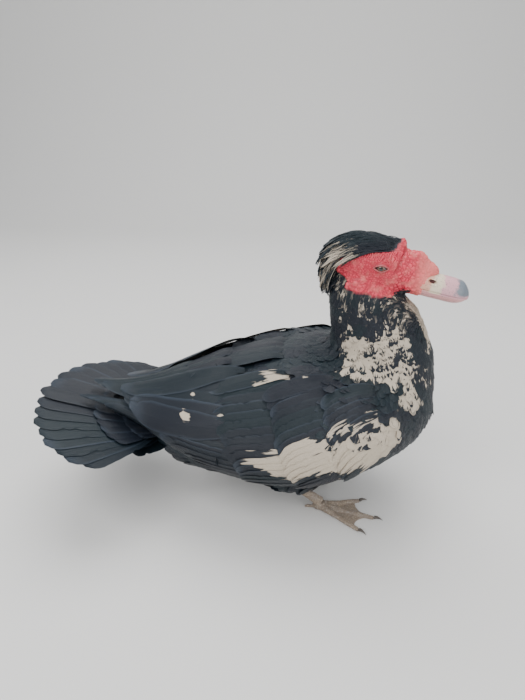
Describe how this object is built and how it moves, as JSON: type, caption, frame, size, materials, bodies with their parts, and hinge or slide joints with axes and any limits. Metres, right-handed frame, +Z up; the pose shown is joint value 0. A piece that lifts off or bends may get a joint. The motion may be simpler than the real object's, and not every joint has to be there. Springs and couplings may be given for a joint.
{
  "type": "muscovy duck, life-size still model",
  "caption": "Life-size model of a pied black and white domestic muscovy drake, standing low with raised crest, red face and fanned tail.",
  "frame": {"origin": "on the floor, under the middle of the box round the bird", "axes": "+X the way the bird faces, +Y to its left, +Z up"},
  "size_m": [0.5064, 0.2524, 0.3545],
  "materials": {
    "plumage": "blue-black feathers with a slight gloss and white patches",
    "face": "red bare skin with beads and folds, black crest feathers",
    "bill": "pink horn with a pale band and a grey tip",
    "eye": "wet, dark brown",
    "foot": "scaly greyish tan skin",
    "claw": "dark horn"
  },
  "bodies": {
    "root": {"torso": "plumage", "neck": "plumage", "head": "face", "bill_upper": "bill", "bill_lower": "bill", "eye_left": "eye", "eye_right": "eye", "tail": "plumage", "wing_left": "plumage", "wing_right": "plumage", "thigh_right": "plumage", "shank_right": "foot", "foot_right": "foot", "claw_right_1": "claw", "claw_right_2": "claw", "claw_right_3": "claw", "thigh_left": "plumage", "shank_left": "foot", "foot_left": "foot", "claw_left_1": "claw", "claw_left_2": "claw", "claw_left_3": "claw"}
  },
  "joints": []
}
